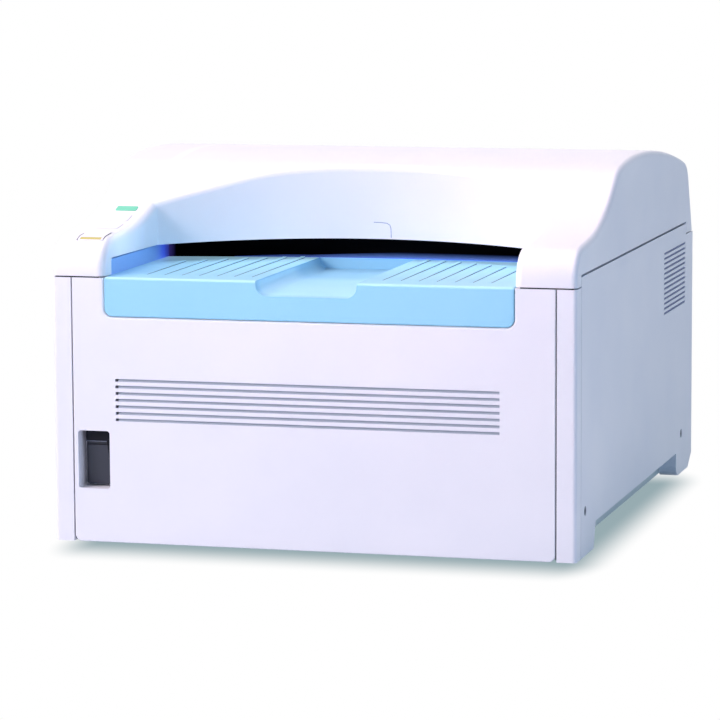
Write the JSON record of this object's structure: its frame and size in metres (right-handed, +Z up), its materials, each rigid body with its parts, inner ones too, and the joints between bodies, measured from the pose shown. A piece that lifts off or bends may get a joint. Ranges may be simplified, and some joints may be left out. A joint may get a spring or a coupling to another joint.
{
  "type": "computed radiography reader",
  "caption": "Desktop reader for computed radiography cassettes: open tray with finger channel, curved rear hood on hinges, keys on the left shoulder and a recessed power switch.",
  "frame": {"origin": "centre of the reader's footprint, on the table under its feet", "axes": "front towards -Y, +X to the right as seen from the front, +Z up"},
  "size_m": [0.53, 0.613, 0.3759],
  "materials": {
    "white_cover": "fine matt",
    "hood_white": "fine matt",
    "tray_blue": "satin",
    "key_white": "satin",
    "lamp_green": "satin",
    "lamp_amber": "satin",
    "filter_mat": "open mat",
    "black_plastic": "matt",
    "switch_black": "satin",
    "rubber_black": "matt",
    "roller_grey": "matt",
    "roller_plastic": "satin",
    "steel_plate": "zinc grey",
    "steel_bright": "bright",
    "white_steel": "fine matt",
    "bush_bronze": "sintered",
    "board_green": "satin",
    "chip_black": "matt",
    "alloy_box": "cast",
    "lens_glass": "clear",
    "mirror_bright": "polished",
    "guide_clear": "clear acrylic",
    "tube_black": "matt",
    "fan_black": "satin"
  },
  "bodies": {
    "base": {"front_cover": "white_cover", "left_corner_post": "white_cover", "right_corner_post": "white_cover", "left_side_panel": "white_cover", "right_side_panel": "white_cover", "cassette_tray": "tray_blue", "front_filter": "filter_mat", "slot_throat": "black_plastic", "switch_body": "switch_black", "rubber_feet": "rubber_black", "hood_bumpers": "rubber_black", "base_pan": "steel_plate", "left_frame": "steel_plate", "right_frame": "steel_plate", "rear_cover": "white_steel", "cover_screws": "steel_bright", "shaft_bushes": "bush_bronze", "drive_motor": "alloy_box", "drive_belt": "rubber_black", "plate_guides": "steel_bright", "erase_lamp": "alloy_box", "optics_deck": "steel_plate", "optics_box": "alloy_box", "optics_lid": "alloy_box", "mirror_motor": "chip_black", "scan_lens": "lens_glass", "laser_unit": "alloy_box", "fold_mirror": "mirror_bright", "detector_tube": "tube_black", "light_guide": "guide_clear", "main_board": "board_green", "board_parts": "chip_black", "power_supply": "steel_plate", "mains_inlet": "switch_black", "data_socket": "switch_black", "fan_frame": "fan_black", "fan_grille": "steel_bright", "hinge_cover_leaves": "steel_bright", "hinge_pins": "steel_bright"},
    "hood": {"top_hood": "hood_white", "key_board": "board_green", "ready_lamp": "lamp_green", "hinge_hood_leaves": "steel_bright"},
    "start_button": {"start_key": "key_white", "start_lens": "lamp_amber"},
    "lower_button": {"lower_key": "key_white"},
    "upper_button": {"upper_key": "key_white"},
    "rocker": {"switch_rocker": "switch_black"},
    "flap": {"slot_flap": "black_plastic"},
    "feed_roll": {"feed_shaft": "steel_bright", "feed_tyres": "roller_grey", "feed_pulley": "roller_plastic"},
    "scan_roll": {"scan_shaft": "steel_bright", "scan_roller": "roller_grey", "scan_pulley": "roller_plastic"},
    "motor_rotor": {"motor_pulley": "steel_bright"},
    "feed_pinch": {"feed_pinch_roller": "roller_plastic"},
    "scan_pinch": {"scan_pinch_roller": "roller_plastic"},
    "polygon": {"polygon_mirror": "mirror_bright"},
    "fan": {"fan_rotor": "fan_black"}
  },
  "joints": [
    {"name": "hood_hinge", "type": "hinge", "parent": "base", "child": "hood", "pos_m": [0, 0.303, 0.2745], "axis": [-1, 0, 0], "range_deg": [0, 50]},
    {"name": "start_press", "type": "slide", "parent": "hood", "child": "start_button", "axis": [0, 0, -1], "range_m": [0, 0.0008], "stiffness_N_per_m": 300, "springref_m": -0.001},
    {"name": "lower_press", "type": "slide", "parent": "hood", "child": "lower_button", "axis": [0, 0, -1], "range_m": [0, 0.0008], "stiffness_N_per_m": 300, "springref_m": -0.001},
    {"name": "upper_press", "type": "slide", "parent": "hood", "child": "upper_button", "axis": [0, 0, -1], "range_m": [0, 0.0008], "stiffness_N_per_m": 300, "springref_m": -0.001},
    {"name": "rocker_tilt", "type": "hinge", "parent": "base", "child": "rocker", "pos_m": [-0.2235, -0.2815, 0.0875], "axis": [-1, 0, 0], "range_deg": [0, 18]},
    {"name": "flap_swing", "type": "hinge", "parent": "base", "child": "flap", "pos_m": [-0.0035, -0.0705, 0.289], "axis": [1, 0, 0], "range_deg": [0, 80], "stiffness_Nm_per_rad": 0.004, "springref_deg": -11.46},
    {"name": "scan_spin", "type": "hinge", "parent": "base", "child": "scan_roll", "pos_m": [-0.0035, 0.0655, 0.2584], "axis": [-1, 0, 0], "continuous": true},
    {"name": "feed_spin", "type": "hinge", "parent": "base", "child": "feed_roll", "pos_m": [-0.0035, -0.0315, 0.2584], "axis": [-1, 0, 0], "continuous": true},
    {"name": "motor_spin", "type": "hinge", "parent": "base", "child": "motor_rotor", "pos_m": [-0.0035, -0.0065, 0.092], "axis": [-1, 0, 0], "continuous": true},
    {"name": "scan_pinch_spin", "type": "hinge", "parent": "base", "child": "scan_pinch", "pos_m": [-0.0035, 0.0655, 0.2827], "axis": [-1, 0, 0], "continuous": true},
    {"name": "feed_pinch_spin", "type": "hinge", "parent": "base", "child": "feed_pinch", "pos_m": [-0.0035, -0.0315, 0.297], "axis": [-1, 0, 0], "continuous": true},
    {"name": "polygon_spin", "type": "hinge", "parent": "base", "child": "polygon", "pos_m": [-0.0035, 0.1935, 0.154], "axis": [0, 0, 1], "continuous": true},
    {"name": "fan_spin", "type": "hinge", "parent": "base", "child": "fan", "pos_m": [-0.15, 0.2891, 0.15], "axis": [0, 1, 0], "continuous": true}
  ],
  "couplings": [
    {"joint": "feed_spin", "follows": "scan_spin", "ratio": 1},
    {"joint": "motor_spin", "follows": "scan_spin", "ratio": 1},
    {"joint": "scan_pinch_spin", "follows": "scan_spin", "ratio": -1}
  ]
}
